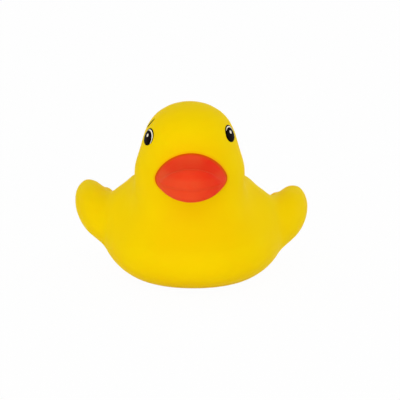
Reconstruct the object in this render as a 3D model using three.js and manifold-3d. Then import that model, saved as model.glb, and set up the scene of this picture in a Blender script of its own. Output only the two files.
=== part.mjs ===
// Rubber duck: a bath toy moulded in soft vinyl as one hollow skin, with a squeaker pressed into its base.
// Millimetres, +Z up, the bill towards -Y. The duck stands on Z = 0, centred over its own footprint.
// The skin is one smooth surface of egg-shaped lobes, which run into each other with a fillet where they meet.

import * as THREE from 'three';
import { mergeVertices } from 'three/addons/utils/BufferGeometryUtils.js';
import Module from 'manifold-3d';

const wasm = await Module();
wasm.setup();

// Hull: the boat-shaped body, cut off flat below.
const hullWidth = 64.5;
const hullLength = 72;
const hullSideways = 0.8;
const bilgeHeight = 13.3; // where the hull is widest
const keelDepth = 16.5; // from the bilge down to the keel that the flat base cuts off
const hullFullness = 2.16; // 2 is an ellipsoid, and more is boxier
const baseEdgeRadius = 2.4;

// Back: a broad saddle that slopes down to the wings, with a narrower one on it that carries the neck.
const saddleWidth = 68.8;
const saddleLength = 50;
const saddleDepth = 40;
const saddleHeight = 18; // of its middle
const withersWidth = 41.5;
const withersLength = 40;
const withersDepth = 11.8;
const withersHeight = 31.7; // of their middle
const backBehind = 3; // how far their middles lie behind the hull's
const backBlend = 6;
const bodySlope = 0.03; // the back and the wings were sculpted a little higher on the duck's right

// Tail: a blunt point that turns up behind.
const rumpWidth = 40;
const rumpLength = 32;
const rumpDepth = 22;
const rumpHeight = 20; // of its middle
const rumpBehind = 19;
const rumpTurn = 25; // degrees above level
const tailWidth = 16;
const tailLength = 22;
const tailDepth = 9.6;
const tailHeight = 30; // of its middle
const tailBehind = 32;
const tailTurn = 42; // degrees above level
const tailBlend = 10;

// Head: a round crown on full cheeks, over a throat that fills the front of the neck.
const duckHeight = 66.8;
const headForward = 13; // from the hull's middle to the head's
const headSideways = -0.6; // the head leans a little to the duck's right
const crownWidth = 32.1;
const crownDepth = 37;
const crownHeight = 26;
const cheekWidth = 38.9;
const cheekDepth = 36;
const cheekHeight = 22.8;
const cheekMiddle = 23.8; // from the crown's top down to the cheeks' middle
const cheekBlend = 8;
const throatWidth = 34;
const throatDepth = 26;
const throatHeight = 30;
const throatForward = 3; // from the head's middle
const throatBlend = 12;
const throatMiddle = 32.8; // from the crown's top down
const neckBlend = 6;

// Wings: paddles that leave the breast smoothly and end behind in a raised tip over a second, lower feather.
const wingLength = 32;
const wingThickness = 15.3;
const wingDepth = 17.5;
const wingRise = 18; // degrees, the back end up
const wingLean = 20; // degrees, the top outwards
const wingSpread = 14; // degrees, the back end outwards
const wingStandOut = 3.1; // from the hull's side to the paddle's middle
const wingHeight = 19.6;
const wingBehind = 8;
const tipLength = 18;
const tipThickness = 8.5;
const tipDepth = 12.2;
const tipRise = 30;
const tipLean = 9;
const tipSpread = 12;
const tipStandOut = 2.8; // from the paddle's middle to the tip's
const tipBehind = 10;
const tipAbove = 1.5;
const featherThickness = 7.8;
const featherInwards = 3.5; // from the paddle's middle to the second feather's
const featherBelow = 1.3;
const wingBlend = 3.5; // where it leaves the body
const tipBlend = 4;
const featherBlend = 3;

// Bill: an upper half dished on top, with an upturned lip, over a smaller lower half.
const billWidth = 25.2;
const billSideways = -0.1;
const billMiddle = 43; // height of the corners of the mouth
const billFacets = 28; // around it
const upperBillPeak = 1.45;
const pocketWidth = 16; // the hollow runs on a little way into the bill
const pocketLength = 15;
const pocketHeight = 7;
const pocketForward = 2.5; // from the face to the pocket's middle
const pocketAbove = 2.1; // the corners of the mouth
const pocketBlend = 3;

// Skin: one moulding, open only at the squeaker's hole in the base.
const skinWall = 2;
const cutOver = 1; // how far a cut runs on past the face that it opens
const skinFacet = 2.6;
const cavityFacet = 4.2;
const gridMargin = 5; // around the duck, where its surface is looked for
const barelyInside = -0.01;
const probeReach = 0.01;
const settlePasses = 4;
const round = 28; // facets around a turned form

// Squeaker: a turned case with a flange below and a bead above, pressed into the base.
const clearance = 0.3;
const caseDiameter = 12;
const caseHeight = 8;
const caseWall = 1.2;
const flangeDiameter = 16.4;
const flangeThickness = 1;
const beadDiameter = 13.8;
const beadThickness = 1;
const seatThickness = 2.6; // the vinyl between the flange and the bead
const seatDiameter = 24;
const soundHoleDiameter = 2.5;
const reedWidth = 2.6;
const reedThickness = 0.4;
const capThickness = 1;
const capSkirtWall = 1.1;

// Signed distance from a point to an egg-shaped lobe, in millimetres and negative inside.
function lobe({ at, size, turn = [0, 0, 0], fullness = 2 }) {
  const radii = size.map((across) => across / 2);
  const [x, y, z] = turn.map(THREE.MathUtils.degToRad);
  const rotation = new THREE.Euler(x, y, z, 'ZYX');
  const toLobe = new THREE.Matrix4().makeRotationFromEuler(rotation).setPosition(...at).invert();
  const local = new THREE.Vector3();
  return (point) => {
    local.copy(point).applyMatrix4(toLobe);
    const parts = local.toArray().map((value, axis) => Math.abs(value) / radii[axis]);
    const sum = parts.reduce((total, part) => total + part ** fullness, 0);
    if (sum < 1e-9) return -Math.min(...radii);
    const reach = sum ** (1 / fullness);
    const slope = Math.hypot(...parts.map((part, axis) => part ** (fullness - 1) / radii[axis]));
    return ((reach - 1) * reach ** (fullness - 1)) / slope;
  };
}

// Two surfaces joined with a fillet of about that radius.
function blend(a, b, radius) {
  const share = Math.max(radius - Math.abs(a - b), 0) / radius;
  return Math.min(a, b) - (share * share * radius) / 4;
}

const overlap = (a, b, radius) => -blend(-a, -b, radius);

const hull = lobe({
  at: [hullSideways, 0, bilgeHeight],
  size: [hullWidth, hullLength, 2 * keelDepth],
  fullness: hullFullness,
});
const saddle = lobe({
  at: [0, backBehind, saddleHeight],
  size: [saddleWidth, saddleLength, saddleDepth],
});
const withers = lobe({
  at: [0, backBehind, withersHeight],
  size: [withersWidth, withersLength, withersDepth],
});
const rump = lobe({
  at: [0, rumpBehind, rumpHeight],
  size: [rumpWidth, rumpLength, rumpDepth],
  turn: [rumpTurn, 0, 0],
});
const tail = lobe({
  at: [0, tailBehind, tailHeight],
  size: [tailWidth, tailLength, tailDepth],
  turn: [tailTurn, 0, 0],
});

const crown = lobe({
  at: [headSideways, -headForward, duckHeight - crownHeight / 2],
  size: [crownWidth, crownDepth, crownHeight],
});
const cheeks = lobe({
  at: [headSideways, -headForward, duckHeight - cheekMiddle],
  size: [cheekWidth, cheekDepth, cheekHeight],
});
const throat = lobe({
  at: [headSideways, -headForward - throatForward, duckHeight - throatMiddle],
  size: [throatWidth, throatDepth, throatHeight],
});

const wingMiddle = hullWidth / 2 + wingStandOut;
const paddle = lobe({
  at: [wingMiddle, wingBehind, wingHeight],
  size: [wingThickness, wingLength, wingDepth],
  turn: [wingRise, wingLean, -wingSpread],
});
const tip = lobe({
  at: [wingMiddle + tipStandOut, wingBehind + tipBehind, wingHeight + tipAbove],
  size: [tipThickness, tipLength, tipDepth],
  turn: [tipRise, tipLean, -tipSpread],
});
const feather = lobe({
  at: [wingMiddle - featherInwards, wingBehind + tipBehind, wingHeight - featherBelow],
  size: [featherThickness, tipLength, tipDepth],
  turn: [tipRise, 0, -tipSpread],
});

const level = new THREE.Vector3();
const mirrored = new THREE.Vector3();
function duckField(point) {
  level.set(point.x, point.y, point.z + bodySlope * point.x);
  mirrored.set(Math.abs(level.x), level.y, level.z);
  let body = blend(hull(point), blend(saddle(level), withers(level), backBlend), backBlend);
  body = blend(blend(body, rump(point), tailBlend), tail(point), tailBlend);
  body = blend(body, throat(point), throatBlend);
  const head = blend(crown(point), cheeks(point), cheekBlend);
  const wing = blend(blend(paddle(mirrored), tip(mirrored), tipBlend), feather(mirrored), featherBlend);
  return overlap(blend(blend(body, head, neckBlend), wing, wingBlend), -point.z, baseEdgeRadius);
}

// A half of the bill through hand-set sections, closed at its root and running to a point at its end. A section
// lies that far out from the face and that far above the mouth's corners, with its own half width, rise and drop
// from its middle, and its sides sweep back by its bend, all in shares of the bill's half width. A peak of 1 makes
// it an ellipse, and more makes it lower beside its middle.
function loft(sections, peak) {
  const around = billFacets;
  const steps = 2 * (sections.length - 1);
  const shape = new THREE.CatmullRomCurve3(
    sections.map(({ out, half, middle }) => new THREE.Vector3(out, half, middle)), false, 'catmullrom', 0.5);
  const bulge = new THREE.CatmullRomCurve3(
    sections.map(({ rise, drop, bend }) => new THREE.Vector3(rise, drop, bend)), false, 'catmullrom', 0.5);
  const positions = [];
  for (let ring = 0; ring <= steps; ring++) {
    const { x: out, y: half, z: middle } = shape.getPoint(ring / steps);
    const { x: rise, y: drop, z: bend } = bulge.getPoint(ring / steps);
    for (let n = 0; n < around; n++) {
      const angle = (2 * Math.PI * n) / around;
      const across = half * Math.cos(angle);
      const up = Math.sin(angle) > 0 ? rise * Math.sin(angle) ** peak : drop * Math.sin(angle);
      positions.push(billSideways + across * billHalf, face + (bend * across ** 2 - out) * billHalf,
        billMiddle + (middle + up) * billHalf);
    }
  }
  const faces = [];
  for (let ring = 0; ring < steps; ring++)
    for (let n = 0; n < around; n++) {
      const next = (n + 1) % around;
      const [a, b, c, d] = [ring * around + n, ring * around + next, (ring + 1) * around + next,
        (ring + 1) * around + n];
      faces.push(a, b, c, a, c, d);
    }
  for (const [ring, front] of [[0, false], [steps, true]])
    for (let n = 1; n < around - 1; n++) {
      const [a, b, c] = [0, n, n + 1].map((k) => ring * around + k);
      faces.push(...(front ? [a, b, c] : [a, c, b]));
    }
  const geometry = new THREE.BufferGeometry();
  geometry.setAttribute('position', new THREE.Float32BufferAttribute(positions, 3));
  geometry.setIndex(faces);
  return geometry;
}

const face = -headForward - crownDepth / 2;
const billHalf = billWidth / 2;
const upperBill = [
  { out: -0.714, half: 1, middle: 0, rise: 0.81, drop: 0.238, bend: 0.397 },
  { out: -0.238, half: 1, middle: 0, rise: 0.81, drop: 0.238, bend: 0.397 },
  { out: 0.04, half: 0.988, middle: 0.004, rise: 0.77, drop: 0.238, bend: 0.413 },
  { out: 0.198, half: 0.968, middle: 0.008, rise: 0.655, drop: 0.214, bend: 0.46 },
  { out: 0.397, half: 0.944, middle: 0.016, rise: 0.56, drop: 0.159, bend: 0.5 },
  { out: 0.675, half: 0.905, middle: 0.024, rise: 0.468, drop: 0.095, bend: 0.571 },
  { out: 0.873, half: 0.865, middle: 0.032, rise: 0.476, drop: 0.056, bend: 0.619 },
  { out: 1, half: 0.825, middle: 0.04, rise: 0.524, drop: 0.048, bend: 0.651 },
  { out: 1.095, half: 0.738, middle: 0.056, rise: 0.468, drop: 0.048, bend: 0.675 },
  { out: 1.175, half: 0.508, middle: 0.087, rise: 0.317, drop: 0.056, bend: 0.69 },
  { out: 1.198, half: 0.159, middle: 0.135, rise: 0.079, drop: 0.04, bend: 0.69 },
];
const lowerBill = [
  { out: -0.714, half: 0.992, middle: -0.048, rise: 0.127, drop: 0.5, bend: 0.397 },
  { out: 0, half: 0.984, middle: -0.048, rise: 0.127, drop: 0.5, bend: 0.397 },
  { out: 0.317, half: 0.944, middle: -0.048, rise: 0.127, drop: 0.46, bend: 0.476 },
  { out: 0.635, half: 0.881, middle: -0.056, rise: 0.127, drop: 0.397, bend: 0.571 },
  { out: 0.897, half: 0.762, middle: -0.071, rise: 0.119, drop: 0.325, bend: 0.651 },
  { out: 1.048, half: 0.524, middle: -0.103, rise: 0.095, drop: 0.214, bend: 0.683 },
  { out: 1.103, half: 0.159, middle: -0.135, rise: 0.04, drop: 0.071, bend: 0.683 },
];

const billPocket = lobe({
  at: [billSideways, face - pocketForward, billMiddle + pocketAbove],
  size: [pocketWidth, pocketLength, pocketHeight],
});

const axes = [[1, 0, 0], [0, 1, 0], [0, 0, 1]];

// The closed surface on which a field is zero, with one vertex in each grid cell that the surface crosses.
function surface(field, low, high, step) {
  const count = low.map((value, axis) => Math.ceil((high[axis] - value) / step) + 1);
  const place = (i, j, k) => new THREE.Vector3(low[0] + i * step, low[1] + j * step, low[2] + k * step);
  const index = (i, j, k) => (k * count[1] + j) * count[0] + i;
  const values = new Float64Array(count[0] * count[1] * count[2]);
  for (let k = 0; k < count[2]; k++)
    for (let j = 0; j < count[1]; j++)
      for (let i = 0; i < count[0]; i++) values[index(i, j, k)] = field(place(i, j, k));
  untangle(values, count, index);

  const corners = [];
  for (let c = 0; c < 8; c++) corners.push([c & 1, (c >> 1) & 1, c >> 2]);
  const edges = [];
  for (let a = 0; a < 8; a++)
    for (const bit of [1, 2, 4]) if (!(a & bit)) edges.push([a, a | bit]);

  const vertexOfCell = new Map();
  const positions = [];
  for (let k = 0; k < count[2] - 1; k++)
    for (let j = 0; j < count[1] - 1; j++)
      for (let i = 0; i < count[0] - 1; i++) {
        const sum = new THREE.Vector3();
        let crossings = 0;
        for (const [a, b] of edges) {
          const [start, end] = [a, b].map((c) => [i + corners[c][0], j + corners[c][1], k + corners[c][2]]);
          const before = values[index(...start)];
          const after = values[index(...end)];
          if (before < 0 === after < 0) continue;
          sum.add(place(...start).lerp(place(...end), before / (before - after)));
          crossings++;
        }
        if (!crossings) continue;
        vertexOfCell.set(index(i, j, k), positions.length / 3);
        positions.push(...settle(field, sum.divideScalar(crossings)).toArray());
      }

  const faces = [];
  for (let k = 1; k < count[2] - 1; k++)
    for (let j = 1; j < count[1] - 1; j++)
      for (let i = 1; i < count[0] - 1; i++)
        axes.forEach((along, axis) => {
          const inside = values[index(i, j, k)] < 0;
          if (inside === values[index(i + along[0], j + along[1], k + along[2])] < 0) return;
          const u = axes[(axis + 1) % 3];
          const v = axes[(axis + 2) % 3];
          const cell = (du, dv) => {
            const [ci, cj, ck] = [i, j, k].map((value, n) => value - du * u[n] - dv * v[n]);
            return vertexOfCell.get(index(ci, cj, ck));
          };
          const ring = [cell(1, 1), cell(0, 1), cell(0, 0), cell(1, 0)];
          if (!inside) ring.reverse();
          faces.push(ring[0], ring[1], ring[2], ring[0], ring[2], ring[3]);
        });

  const geometry = new THREE.BufferGeometry();
  geometry.setAttribute('position', new THREE.Float32BufferAttribute(positions, 3));
  geometry.setIndex(faces);
  return geometry;
}

// Fills grid points until no square of them has only its opposite corners inside, where two sheets would touch.
function untangle(values, count, index) {
  let filled = true;
  while (filled) {
    filled = false;
    for (let k = 0; k < count[2] - 1; k++)
      for (let j = 0; j < count[1] - 1; j++)
        for (let i = 0; i < count[0] - 1; i++)
          for (let axis = 0; axis < 3; axis++) {
            const u = axes[(axis + 1) % 3];
            const v = axes[(axis + 2) % 3];
            const square = [[0, 0], [1, 0], [1, 1], [0, 1]].map(([du, dv]) =>
              index(i + du * u[0] + dv * v[0], j + du * u[1] + dv * v[1], k + du * u[2] + dv * v[2]));
            const inside = square.map((corner) => values[corner] < 0);
            if (inside[0] !== inside[2] || inside[1] !== inside[3] || inside[0] === inside[1]) continue;
            const open = square.filter((corner, n) => !inside[n]);
            values[values[open[0]] < values[open[1]] ? open[0] : open[1]] = barelyInside;
            filled = true;
          }
  }
}

// Slides a point along the field's slope until it lies on the surface.
function settle(field, point) {
  const slope = new THREE.Vector3();
  const probe = new THREE.Vector3();
  for (let pass = 0; pass < settlePasses; pass++) {
    for (const axis of ['x', 'y', 'z']) {
      probe.copy(point)[axis] += probeReach;
      const ahead = field(probe);
      probe[axis] -= 2 * probeReach;
      slope[axis] = (ahead - field(probe)) / (2 * probeReach);
    }
    point.addScaledVector(slope, -field(point) / slope.lengthSq());
  }
  return point;
}

function solidOf(geometry) {
  const bare = geometry.clone();
  bare.deleteAttribute('normal');
  bare.deleteAttribute('uv');
  const merged = mergeVertices(bare, 1e-4);
  return new wasm.Manifold(new wasm.Mesh({
    numProp: 3,
    vertProperties: merged.getAttribute('position').array,
    triVerts: new Uint32Array(merged.index.array),
  }));
}

function geometryOf(solid) {
  const mesh = solid.getMesh();
  const geometry = new THREE.BufferGeometry();
  geometry.setAttribute('position', new THREE.BufferAttribute(mesh.vertProperties, 3));
  geometry.setIndex(new THREE.BufferAttribute(mesh.triVerts, 1));
  geometry.computeVertexNormals();
  return geometry;
}

// A turned form: a closed outline of radius and height pairs, spun about Z.
function turned(outline) {
  const ring = outline.map(([radius, height]) => new THREE.Vector2(radius, height));
  ring.push(ring[0].clone());
  const geometry = new THREE.LatheGeometry(ring, round);
  geometry.rotateX(Math.PI / 2);
  return geometry;
}

const disc = (diameter, bottom, top) =>
  turned([[0, bottom], [diameter / 2, bottom], [diameter / 2, top], [0, top]]);

// Heights above the base of what the squeaker's seat is made of.
const flangeTop = clearance + flangeThickness;
const recessTop = flangeTop + clearance;
const seatTop = recessTop + seatThickness;
const beadBottom = seatTop + clearance;
const caseFloorTop = clearance + caseWall;
const caseTop = clearance + caseHeight;
const reedBottom = caseFloorTop + clearance;
const skirtBottom = reedBottom + reedThickness + clearance;

function makeSkin() {
  const sideways = wingMiddle + tipStandOut + tipThickness + gridMargin;
  const forward = Math.max(hullLength / 2, pocketForward + pocketLength / 2 - face) + gridMargin;
  const behind = Math.max(hullLength / 2, tailBehind + tailLength / 2) + gridMargin;
  const low = [-sideways, -forward, -gridMargin];
  const high = [sideways, behind, duckHeight + gridMargin];
  const body = solidOf(surface(duckField, low, high, skinFacet));
  const outside = body.add(solidOf(loft(upperBill, upperBillPeak))).add(solidOf(loft(lowerBill, 1)));
  const hollow = (point) => blend(duckField(point) + skinWall, billPocket(point), pocketBlend);
  const seat = disc(seatDiameter, -cutOver, seatTop).translate(hullSideways, 0, 0);
  const recess = disc(flangeDiameter + 2 * clearance, -cutOver, recessTop).translate(hullSideways, 0, 0);
  const hole = disc(caseDiameter + 2 * clearance, -cutOver, seatTop + cutOver).translate(hullSideways, 0, 0);
  // The hollow is one room: what the wall pinches off in a thin tip is solid vinyl.
  const rooms = solidOf(surface(hollow, low, high, cavityFacet)).decompose();
  const room = rooms.reduce((largest, other) => (other.volume() > largest.volume() ? other : largest));
  const cavity = room.subtract(solidOf(seat));
  return geometryOf(outside.subtract(cavity).subtract(solidOf(recess)).subtract(solidOf(hole)));
}

function makeCase() {
  const outer = caseDiameter / 2;
  const inner = outer - caseWall;
  return turned([
    [soundHoleDiameter / 2, clearance],
    [flangeDiameter / 2, clearance],
    [flangeDiameter / 2, flangeTop],
    [outer, flangeTop],
    [outer, beadBottom],
    [beadDiameter / 2, beadBottom],
    [beadDiameter / 2, beadBottom + beadThickness / 2],
    [outer, beadBottom + 2 * beadThickness],
    [outer, caseTop],
    [inner, caseTop],
    [inner, caseFloorTop],
    [soundHoleDiameter / 2, caseFloorTop],
  ]);
}

function makeReed() {
  const length = caseDiameter - 2 * caseWall - 4 * clearance;
  return new THREE.BoxGeometry(length, reedWidth, reedThickness)
    .translate(0, 0, reedBottom + reedThickness / 2);
}

// The cap closes the case's top, and its skirt holds down the ends of the reed.
function makeCap() {
  const outer = caseDiameter / 2 - caseWall - clearance;
  return turned([
    [soundHoleDiameter / 2, caseTop - capThickness],
    [outer - capSkirtWall, caseTop - capThickness],
    [outer - capSkirtWall, skirtBottom],
    [outer, skirtBottom],
    [outer, caseTop],
    [soundHoleDiameter / 2, caseTop],
  ]);
}

const vinyl = new THREE.MeshStandardMaterial({ color: 0xf5cf00, roughness: 0.45 });
const whitePlastic = new THREE.MeshStandardMaterial({ color: 0xeceae4, roughness: 0.5 });
const reedFilm = new THREE.MeshStandardMaterial({ color: 0xd8d2c0, roughness: 0.35 });

function piece(name, geometry, material) {
  const mesh = new THREE.Mesh(geometryOf(solidOf(geometry)), material);
  mesh.name = name;
  return mesh;
}

const skin = piece('duck_skin', makeSkin(), vinyl);
const squeaker = new THREE.Group();
squeaker.add(
  piece('squeaker_case', makeCase(), whitePlastic),
  piece('squeaker_reed', makeReed(), reedFilm),
  piece('squeaker_cap', makeCap(), whitePlastic),
);
squeaker.position.x = hullSideways;

const duck = new THREE.Group();
duck.add(skin, squeaker);

// The origin is under the middle of the duck's footprint, at the height of its base.
const box = new THREE.Box3().setFromObject(duck);
const middle = box.getCenter(new THREE.Vector3());
duck.position.set(-middle.x, -middle.y, -box.min.z);

export default duck;
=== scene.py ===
# Rubber duck seen from the front, on white: looks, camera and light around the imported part.
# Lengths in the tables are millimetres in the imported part's frame: +Z up, the bill towards -Y.

import math

import bmesh
import bpy
import numpy as np
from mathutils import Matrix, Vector
from mathutils.bvhtree import BVHTree


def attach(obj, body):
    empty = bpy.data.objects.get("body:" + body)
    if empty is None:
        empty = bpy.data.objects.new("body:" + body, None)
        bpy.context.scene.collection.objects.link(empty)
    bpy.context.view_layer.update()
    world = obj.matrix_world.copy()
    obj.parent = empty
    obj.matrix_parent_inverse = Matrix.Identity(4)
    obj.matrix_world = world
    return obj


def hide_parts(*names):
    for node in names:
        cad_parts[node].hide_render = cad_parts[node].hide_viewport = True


MM = 0.001

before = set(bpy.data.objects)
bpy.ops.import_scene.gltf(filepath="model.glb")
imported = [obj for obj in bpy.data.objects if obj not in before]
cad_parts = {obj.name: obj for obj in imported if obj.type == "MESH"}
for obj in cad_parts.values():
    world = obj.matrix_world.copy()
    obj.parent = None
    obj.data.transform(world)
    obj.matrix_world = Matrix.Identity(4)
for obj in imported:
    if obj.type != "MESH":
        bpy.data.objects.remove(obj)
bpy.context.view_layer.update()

# Skin
JOIN = 0.001  # vertices closer than this are one
SKIN_FLATNESS = 40.0  # degrees: two triangles as flat to each other as this, and whose four sides
SKIN_SQUARENESS = 50.0  # are as near to square as this, become one facet
SKIN_ROUNDING = 2  # subdivisions that round those facets over
SKIN_DRAWS = 3  # times that the rounded surface is drawn back to the moulding
SKIN_VOXEL = 0.69  # size of the finished skin's facets
SKIN_SETTLING = (("soften", 0.5), ("restore", -0.52))  # the second undoes the first one's shrinking
SKIN_PASSES = 3

# Bill: the outline of its paint, seen from the front, as an upper and a lower half
BILL_SIDEWAYS = -0.104
BILL_MIDDLE = 43.1
BILL_HALF = 12.7
BILL_RISE = 9.7
BILL_PEAK = 1.45
BILL_LOWER_MIDDLE = 42.5
BILL_DROP = 6.5
BILL_BEHIND = -20.0  # the paint ends in front of this plane
BILL_POINTS = 160

# Spray, by its distance to that outline: stray spray outside it, the masked edge, and an orange rim inside it, partly
# thinning spray and partly painted shade
SPRAY_STRAY = {"From_Min": 0.1, "From_Max": 0.9, "To_Min": 0.6, "To_Max": 0.0}
SPRAY_EDGE = {"From_Min": -0.03, "From_Max": 0.03}
# the rim: partly thinning spray, partly painted shade in the crease round the bill
SPRAY_RIM_AND_CREASE_SHADE = {"From_Min": -0.7, "From_Max": -0.35}
SPRAY_REACH = 2.0  # further out than this there is none
# Where the bill's red is painted deeper as shade: stretches over which it changes, and by how much
BILL_SHADE_SIDEWAYS = ((1.0, 8.0), 0.7)  # towards the duck's left
BILL_SHADE_OVER_MOUTH = ((46.0, 47.5), 0.55)  # upwards
BILL_SHADE_ON_TOP = ((49.5, 51.5), -0.45)  # upwards

# Finishes: how wide their patterns are and, where they are in relief, how deep. The grain and ripple of the real ones
# are finer, and are drawn as coarse as they need to show.
VINYL_CLOUD = 14.0  # drift of the yellow over the moulding
VINYL_PATCH = 3.0  # drift of its satin
VINYL_GRAIN, VINYL_GRAIN_DEPTH = 0.7, 0.012
SPRAY_MOTTLE = 5.0
ENAMEL_PATCH = 1.5
ENAMEL_RIPPLE, ENAMEL_RIPPLE_DEPTH = 0.9, 0.01
POLYETHYLENE_MILK = 6.0
POLYETHYLENE_GRAIN, POLYETHYLENE_GRAIN_DEPTH = 0.5, 0.01
FILM_LINE, FILM_LINE_DEPTH = 0.8, 0.004
MAIN_VALUES = {"From_Min": 0.3, "From_Max": 0.7}  # noise hardly ever leaves these

# Eyes: each one's middle, which way its paint faces, and how far its first two coats slipped towards the bill. Then
# its painted layers as ellipses in its own plane: a layer is its middle (towards the bill, up), half lengths the same
# way, tilt in degrees, and height over the vinyl.
EYES = {
    "right": {"at": (-15.47, -17.275, 55.63), "facing": (-0.890, -0.330, 0.316), "slip": 0.45},
    "left": {"at": (13.78, -17.185, 56.76), "facing": (0.862, -0.336, 0.380), "slip": -0.25},
}
EYE_LAYERS = {
    "outline": {"middle": (0.0, 0.55), "half": (3.8, 2.95), "tilt": -4, "height": 0.10},
    "white": {"middle": (0.0, 0.3), "half": (3.55, 2.8), "tilt": -4, "height": 0.17},
    "pupil": {"middle": (0.1, -0.03), "half": (3.6, 2.7), "tilt": -4, "height": 0.25},
    "glint": {"middle": (0.0, 0.75), "half": (0.72, 0.66), "tilt": 10, "height": 0.31},
    "brow": {"middle": (-3.6, 4.7), "half": (2.4, 0.4), "tilt": 55, "height": 0.12, "bend": 0.06},
}
# A dab of paint from its middle out over its rim and back under the vinyl, as shares of its half length and height
DAB_PROFILE = [(0, 1), (0.3, 1), (0.6, 1), (0.85, 1), (0.95, 0.8), (1, 0.25), (1, -1.2), (0, -1.2)]
DAB_STEPS = 48
DAB_JOIN = 1e-5  # vertices closer than this, as a share too, are one
DAB_DROP = 8.0  # each point of a dab drops onto the vinyl from this far off

# Floor, room and lamps: azimuth from the front and height in degrees, power in watts
FLOOR_HALF = 1500.0
FLOOR_GAP = 0.02  # under the flat base
FLOOR_WHITE = 0.97  # share of plain white in the floor as the camera sees it, so that only a soft shadow shows
ROOM_LIGHT = 0.7
LAMPS = {
    "key_lamp": (-30, 0, 2.7),
    "fill_lamp": (30, 0, 0.95),
    "high_lamp": (0, 35, 0.9),
    "rim_lamp": (110, 15, 0.85),
}
LAMP_SIZE = 500.0
LAMP_DISTANCE = 1000.0
LAMP_TARGET = (0.0, 0.0, 30.0)

# Camera: it looks at the target from the front and above, and its film is shifted by these shares of its width
CAMERA_TARGET = (-0.004, 2.930, 31.0)
CAMERA_DISTANCE = 520.0
CAMERA_ELEVATION = 15.0  # degrees
CAMERA_LENS = 125.98
CAMERA_FILM = 36.0
CAMERA_SHIFT = (0.0215, -0.0248)


def linear(colour):
    """An sRGB colour as a hex number to linear RGBA."""
    parts = [((colour >> shift) & 255) / 255 for shift in (16, 8, 0)]
    return [p / 12.92 if p <= 0.04045 else ((p + 0.055) / 1.055) ** 2.4 for p in parts] + [1.0]


def add(tree, kind, output, settings=None, **inputs):
    """Adds a node with its settings and gives one of its outputs. An input is a value or an output to link from.

    Inputs go by name, with _ for a space, or by number, as in _0.
    """
    node = tree.nodes.new(kind)
    for name, value in (settings or {}).items():
        setattr(node, name, value)
    for name, value in inputs.items():
        socket = node.inputs[int(name[1:])] if name[1:].isdigit() else node.inputs[name.replace("_", " ")]
        if isinstance(value, bpy.types.NodeSocket):
            tree.links.new(value, socket)
        else:
            socket.default_value = value
    return node.outputs[output]


def material(name, **shading):
    """A material with a Principled shader set to the given constants, and its tree, shader and object coordinates."""
    made = bpy.data.materials.new(name)
    made.use_nodes = True
    tree = made.node_tree
    shader = tree.nodes["Principled BSDF"]
    for key, value in shading.items():
        shader.inputs[key.replace("_", " ")].default_value = value
    return made, tree, shader.inputs, add(tree, "ShaderNodeTexCoord", "Object")


COLOURS = {"data_type": "RGBA"}  # sets a Mix node to colours: its inputs are then 0, 6 and 7, and its output 2


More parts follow.
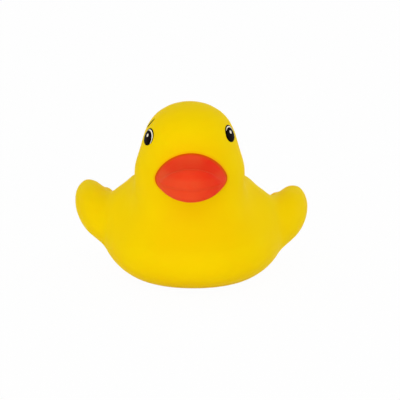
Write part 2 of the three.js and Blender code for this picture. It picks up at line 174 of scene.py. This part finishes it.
def vinyl():
    """Soft vinyl, rotocast in a matt mould and sprayed with matt paint on the bill.

    It gives the eye a deep warm yellow with a little light under its surface, and hardly any sheen.
    """
    made, tree, shader, place = material(
        "soft_vinyl",
        IOR=1.45,
        Specular_IOR_Level=0.02,
        Subsurface_Weight=0.2,
        Subsurface_Radius=(1.0, 0.55, 0.08),
        Subsurface_Scale=2 * MM,
    )
    cloud = add(tree, "ShaderNodeTexNoise", "Fac", Vector=place, Scale=1 / (VINYL_CLOUD * MM))
    share = add(tree, "ShaderNodeMapRange", "Result", Value=cloud, **MAIN_VALUES)
    yellow = add(tree, "ShaderNodeMix", 2, COLOURS, _0=share, _6=linear(0xFBD300), _7=linear(0xFDD700))

    # Spray that strayed past the mask warms the yellow close to the bill.
    edge = add(tree, "ShaderNodeAttribute", "Fac", {"attribute_name": "bill_edge"})
    share = add(tree, "ShaderNodeMapRange", "Result", Value=edge, **SPRAY_STRAY)
    warmed = add(tree, "ShaderNodeMix", 2, COLOURS, _0=share, _6=yellow, _7=linear(0xFFA808))

    # Painted shade: the red is deeper in a band over the mouth and towards the duck's left, on top of the spray's own
    # mottle.
    across = add(tree, "ShaderNodeSeparateXYZ", "X", Vector=place)
    height = add(tree, "ShaderNodeSeparateXYZ", "Z", Vector=place)
    mottle = add(tree, "ShaderNodeTexNoise", "Fac", Vector=place, Scale=1 / (SPRAY_MOTTLE * MM))
    mottle_and_shade = add(tree, "ShaderNodeMapRange", "Result", Value=mottle, To_Min=-0.15, To_Max=0.15, **MAIN_VALUES)
    for along, (stretch, rise) in ((across, BILL_SHADE_SIDEWAYS), (height, BILL_SHADE_OVER_MOUTH), (height, BILL_SHADE_ON_TOP)):
        start, end = stretch[0] * MM, stretch[1] * MM
        painted_shade = add(tree, "ShaderNodeMapRange", "Result", Value=along, From_Min=start, From_Max=end, To_Max=rise)
        mottle_and_shade = add(tree, "ShaderNodeMath", "Value", {"operation": "ADD"}, _0=mottle_and_shade, _1=painted_shade)
    red = add(tree, "ShaderNodeMix", 2, COLOURS, _0=mottle_and_shade, _6=linear(0xF04D28), _7=linear(0xF0331A))

    # Just inside the mask it turns a darker orange: partly the spray thinning out, partly painted shade of the crease
    # where the bill meets the head.
    share = add(tree, "ShaderNodeMapRange", "Result", Value=edge, **SPRAY_RIM_AND_CREASE_SHADE)
    painted = add(tree, "ShaderNodeMix", 2, COLOURS, _0=share, _6=red, _7=linear(0xDE5200))
    share = add(tree, "ShaderNodeMapRange", "Result", Value=edge, **SPRAY_EDGE)
    colour = add(tree, "ShaderNodeMix", 2, COLOURS, _0=share, _6=painted, _7=warmed)
    tree.links.new(colour, shader["Base Color"])

    patch = add(tree, "ShaderNodeTexNoise", "Fac", Vector=place, Scale=1 / (VINYL_PATCH * MM))
    satin = add(tree, "ShaderNodeMapRange", "Result", Value=patch, To_Min=0.46, To_Max=0.54, **MAIN_VALUES)
    tree.links.new(satin, shader["Roughness"])
    grain = add(tree, "ShaderNodeTexNoise", "Fac", Vector=place, Scale=1 / (VINYL_GRAIN * MM), Detail=3.0)
    relief = add(tree, "ShaderNodeBump", "Normal", Height=grain, Distance=VINYL_GRAIN_DEPTH * MM)
    tree.links.new(relief, shader["Normal"])
    return made


def enamel(name, colour, other, roughness, sheen):
    """Enamel dabbed on the vinyl: smooth, with the least ripple and a slightly uneven colour."""
    made, tree, shader, place = material(name, Roughness=roughness, IOR=1.5, Specular_IOR_Level=sheen)
    patch = add(tree, "ShaderNodeTexNoise", "Fac", Vector=place, Scale=1 / (ENAMEL_PATCH * MM))
    uneven = add(tree, "ShaderNodeMix", 2, COLOURS, _0=patch, _6=linear(colour), _7=linear(other))
    tree.links.new(uneven, shader["Base Color"])
    ripple = add(tree, "ShaderNodeTexNoise", "Fac", Vector=place, Scale=1 / (ENAMEL_RIPPLE * MM))
    relief = add(tree, "ShaderNodeBump", "Normal", Height=ripple, Distance=ENAMEL_RIPPLE_DEPTH * MM)
    tree.links.new(relief, shader["Normal"])
    return made


def polyethylene():
    """Injection-moulded polyethylene: milky and waxy, with a faint grain."""
    made, tree, shader, place = material(
        "white_polyethylene", Roughness=0.42, IOR=1.5, Subsurface_Weight=0.1, Subsurface_Scale=1 * MM)
    milk = add(tree, "ShaderNodeTexNoise", "Fac", Vector=place, Scale=1 / (POLYETHYLENE_MILK * MM))
    colour = add(tree, "ShaderNodeMix", 2, COLOURS, _0=milk, _6=linear(0xE9E6DC), _7=linear(0xF1EFE8))
    tree.links.new(colour, shader["Base Color"])
    grain = add(tree, "ShaderNodeTexNoise", "Fac", Vector=place, Scale=1 / (POLYETHYLENE_GRAIN * MM))
    relief = add(tree, "ShaderNodeBump", "Normal", Height=grain, Distance=POLYETHYLENE_GRAIN_DEPTH * MM)
    tree.links.new(relief, shader["Normal"])
    return made


def polyester():
    """Stiff polyester film: cream, a little glossy, with drawing lines along the reed."""
    made, tree, shader, place = material("polyester_film", Roughness=0.3, IOR=1.6)
    width = FILM_LINE * MM
    lines = add(
        tree, "ShaderNodeTexWave", "Fac", {"bands_direction": "Y"}, Vector=place, Scale=1 / width, Distortion=1.0)
    colour = add(tree, "ShaderNodeMix", 2, COLOURS, _0=lines, _6=linear(0xD5CEBB), _7=linear(0xDED8C8))
    tree.links.new(colour, shader["Base Color"])
    relief = add(tree, "ShaderNodeBump", "Normal", Height=lines, Distance=FILM_LINE_DEPTH * MM)
    tree.links.new(relief, shader["Normal"])
    return made


def seen_plainly(tree):
    """1 for the rays of the camera, of reflections and of clear things, 0 for the light that falls on the duck."""
    seen = 0.0
    for ray in ("Is Camera Ray", "Is Glossy Ray", "Is Transmission Ray"):
        one = add(tree, "ShaderNodeLightPath", ray)
        seen = add(tree, "ShaderNodeMath", "Value", {"operation": "MAXIMUM"}, _0=seen, _1=one)
    return seen


def object_of(name, mesh, finish):
    """A new piece of the scene with one finish."""
    made = bpy.data.objects.new(name, mesh)
    bpy.context.scene.collection.objects.link(made)
    made.data.materials.clear()
    made.data.materials.append(finish)
    return made


def vertices_of(mesh):
    """The places of a mesh's vertices, one a row."""
    place = np.zeros(len(mesh.vertices) * 3, np.float32)
    mesh.vertices.foreach_get("co", place)
    return place.reshape(-1, 3)


def smooth(mesh):
    """Shades a mesh as one rounded surface."""
    mesh.polygons.foreach_set("use_smooth", [True] * len(mesh.polygons))


def make_skin(finish):
    """The moulded skin, with its facets rounded over."""
    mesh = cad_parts["duck_skin"].data.copy()
    bm = bmesh.new()
    bm.from_mesh(mesh)
    bmesh.ops.remove_doubles(bm, verts=bm.verts, dist=JOIN * MM)
    bmesh.ops.join_triangles(
        bm,
        faces=bm.faces,
        angle_face_threshold=math.radians(SKIN_FLATNESS),
        angle_shape_threshold=math.radians(SKIN_SQUARENESS),
    )
    bm.to_mesh(mesh)
    bm.free()
    skin = object_of("skin", mesh, finish)
    rounding = skin.modifiers.new("rounding", "SUBSURF")
    rounding.levels = rounding.render_levels = SKIN_ROUNDING

    # The rounded surface is drawn back until it runs through the part's own vertices.
    wanted = vertices_of(mesh)
    cage = wanted.copy()
    for _ in range(SKIN_DRAWS):
        rounded = skin.evaluated_get(bpy.context.evaluated_depsgraph_get())
        cage += wanted - vertices_of(rounded.data)[: len(wanted)]
        mesh.vertices.foreach_set("co", cage.ravel())
        mesh.update()

    even = skin.modifiers.new("even", "REMESH")
    even.mode = "VOXEL"
    even.voxel_size = SKIN_VOXEL * MM
    for name, factor in SKIN_SETTLING:
        for n in range(2):
            settle = skin.modifiers.new(f"{name}_{n}", "SMOOTH")
            settle.factor = factor
            settle.iterations = SKIN_PASSES
    mesh = bpy.data.meshes.new_from_object(skin.evaluated_get(bpy.context.evaluated_depsgraph_get()))
    skin.modifiers.clear()
    skin.data = mesh

    # No rounding reaches below the surface that the duck stands on.
    place = vertices_of(mesh)
    place[:, 2] = np.maximum(place[:, 2], 0)
    mesh.vertices.foreach_set("co", place.ravel())
    smooth(mesh)
    return skin


def bill_outline():
    """The painted outline as x and z pairs, right round."""
    points = []
    for angle in np.linspace(0, 2 * math.pi, BILL_POINTS, endpoint=False):
        across = BILL_SIDEWAYS + BILL_HALF * math.cos(angle)
        if math.sin(angle) > 0:
            points.append((across, BILL_MIDDLE + BILL_RISE * math.sin(angle) ** BILL_PEAK))
        else:
            points.append((across, BILL_LOWER_MIDDLE + BILL_DROP * math.sin(angle)))
    return np.array(points)


def distance_to(points, outline):
    """Distance from each point to a closed outline, negative inside it."""
    start = outline[None, :, :]
    along = np.roll(outline, -1, axis=0)[None, :, :] - start
    away = points[:, None, :] - start
    share = np.clip((away * along).sum(2) / (along**2).sum(2), 0, 1)
    near = np.sqrt(((away - share[:, :, None] * along) ** 2).sum(2).min(1))
    end = start + along
    above = (start[:, :, 1] > points[:, None, 1]) != (end[:, :, 1] > points[:, None, 1])
    with np.errstate(divide="ignore", invalid="ignore"):
        crossing = start[:, :, 0] + (points[:, None, 1] - start[:, :, 1]) / along[:, :, 1] * along[:, :, 0]
    inside = (above & (points[:, None, 0] < crossing)).sum(1) % 2 == 1
    return np.where(inside, -near, near)


def mark_bill(skin):
    """Gives the skin its distance in millimetres to the edge of the bill's paint."""
    outline = bill_outline()
    low, high = outline.min(0) - SPRAY_REACH, outline.max(0) + SPRAY_REACH
    place = vertices_of(skin.data) / MM
    flat = place[:, [0, 2]]
    near = np.where((place[:, 1] < BILL_BEHIND) & (flat > low).all(1) & (flat < high).all(1))[0]
    edge = np.full(len(place), SPRAY_REACH, np.float32)
    for part in np.array_split(near, 20):  # a few at a time, for the sake of memory
        edge[part] = distance_to(flat[part], outline)
    skin.data.attributes.new("bill_edge", "FLOAT", "POINT").data.foreach_set("value", edge)


def make_dab(name, eye, layer, slip, skin_tree, finish):
    """One painted layer of an eye: a thin lens laid on the vinyl."""
    facing = Vector(eye["facing"]).normalized()
    up = (Vector((0, 0, 1)) - facing.z * facing).normalized()
    front = facing.cross(up)
    if front.y > 0:
        front.negate()
    bm = bmesh.new()
    ring = [bm.verts.new((radius, 0, height)) for radius, height in DAB_PROFILE]
    edges = [bm.edges.new(pair) for pair in zip(ring, ring[1:])]
    bmesh.ops.spin(
        bm, geom=ring + edges, cent=(0, 0, 0), axis=(0, 0, 1), angle=2 * math.pi, steps=DAB_STEPS, use_merge=True)
    bmesh.ops.remove_doubles(bm, verts=bm.verts, dist=DAB_JOIN)
    bmesh.ops.recalc_face_normals(bm, faces=bm.faces)
    if front.cross(up).dot(facing) < 0:  # a mirrored dab would come out inside out
        bmesh.ops.reverse_faces(bm, faces=bm.faces)
    turn = math.radians(layer["tilt"])
    for vert in bm.verts:
        # Along and across the ellipse, then, with its tilt, towards the bill and up
        u, v = vert.co.x * layer["half"][0], vert.co.y * layer["half"][1]
        v += layer.get("bend", 0) * u * u
        a = layer["middle"][0] + slip + u * math.cos(turn) - v * math.sin(turn)
        b = layer["middle"][1] + u * math.sin(turn) + v * math.cos(turn)
        above = (Vector(eye["at"]) + front * a + up * b + facing * DAB_DROP) * MM
        hit, *_ = skin_tree.ray_cast(above, -facing)
        vert.co = hit + facing * vert.co.z * layer["height"] * MM
    mesh = bpy.data.meshes.new(name)
    bm.to_mesh(mesh)
    bm.free()
    smooth(mesh)
    return object_of(name, mesh, finish)


skin = make_skin(vinyl())
mark_bill(skin)
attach(skin, "root")
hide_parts("duck_skin")

black = enamel("black_enamel", 0x0A0301, 0x120704, 0.25, 0.005)
white = enamel("white_enamel", 0xF7EBCE, 0xFCF4E0, 0.3, 0.3)
skin_tree = BVHTree.FromObject(skin, bpy.context.evaluated_depsgraph_get())
for side, eye in EYES.items():
    for part, layer in EYE_LAYERS.items():
        if part == "brow" and side == "left":
            continue  # only the right eye has a brow
        slip = eye["slip"] if part in ("outline", "white") else 0
        finish = white if part in ("white", "glint") else black
        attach(make_dab(f"{side}_eye_{part}", eye, layer, slip, skin_tree, finish), "root")

plastic = polyethylene()
film = polyester()
for node, finish in (("squeaker_case", plastic), ("squeaker_cap", plastic), ("squeaker_reed", film)):
    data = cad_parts[node].data
    for slot in range(len(data.materials)):
        data.materials[slot] = finish

# White paper to stand on, matt and even, which the camera and reflections see nearly plain white
paper, tree, shader, _ = material("white_paper", Roughness=0.9)
shader["Base Color"].default_value = linear(0xF7F7F7)
lit = tree.nodes["Principled BSDF"].outputs[0]
plain = add(tree, "ShaderNodeEmission", "Emission", Strength=1.0)
share = add(tree, "ShaderNodeMath", "Value", {"operation": "MULTIPLY"}, _0=seen_plainly(tree), _1=FLOOR_WHITE)
both = add(tree, "ShaderNodeMixShader", "Shader", _0=share, _1=lit, _2=plain)
tree.links.new(both, tree.nodes["Material Output"].inputs["Surface"])
bm = bmesh.new()
bmesh.ops.create_grid(bm, x_segments=1, y_segments=1, size=FLOOR_HALF * MM)
bmesh.ops.translate(bm, vec=(0, 0, -FLOOR_GAP * MM), verts=bm.verts)
mesh = bpy.data.meshes.new("floor")
bm.to_mesh(mesh)
bm.free()
object_of("floor", mesh, paper)

# An even white room, seen as plain white
room = bpy.data.worlds.new("room")
bpy.context.scene.world = room
room.use_nodes = True
tree = room.node_tree
strength = add(tree, "ShaderNodeMapRange", "Result", Value=seen_plainly(tree), To_Min=ROOM_LIGHT, To_Max=1.0)
background = tree.nodes["Background"].inputs
background["Color"].default_value = (1, 1, 1, 1)
tree.links.new(strength, background["Strength"])

# Square soft lamps, each turned to the duck
for name, (azimuth, height, power) in LAMPS.items():
    light = bpy.data.lights.new(name, "AREA")
    light.size = LAMP_SIZE * MM
    light.energy = power
    turn, rise = math.radians(azimuth), math.radians(height)
    away = Vector((math.sin(turn) * math.cos(rise), -math.cos(turn) * math.cos(rise), math.sin(rise)))
    lamp = bpy.data.objects.new(name, light)
    lamp.location = (Vector(LAMP_TARGET) + away * LAMP_DISTANCE) * MM
    lamp.rotation_euler = away.to_track_quat("Z", "Y").to_euler()
    bpy.context.scene.collection.objects.link(lamp)

# Camera
elevation = math.radians(CAMERA_ELEVATION)
looking = Vector((0, math.cos(elevation), -math.sin(elevation)))
camera = bpy.data.objects.new("camera", bpy.data.cameras.new("camera"))
camera.location = (Vector(CAMERA_TARGET) - looking * CAMERA_DISTANCE) * MM
camera.rotation_euler = looking.to_track_quat("-Z", "Y").to_euler()
camera.data.sensor_width = CAMERA_FILM
camera.data.lens = CAMERA_LENS
camera.data.shift_x, camera.data.shift_y = CAMERA_SHIFT
bpy.context.scene.collection.objects.link(camera)
bpy.context.scene.camera = camera
bpy.context.scene.view_settings.view_transform = "Standard"
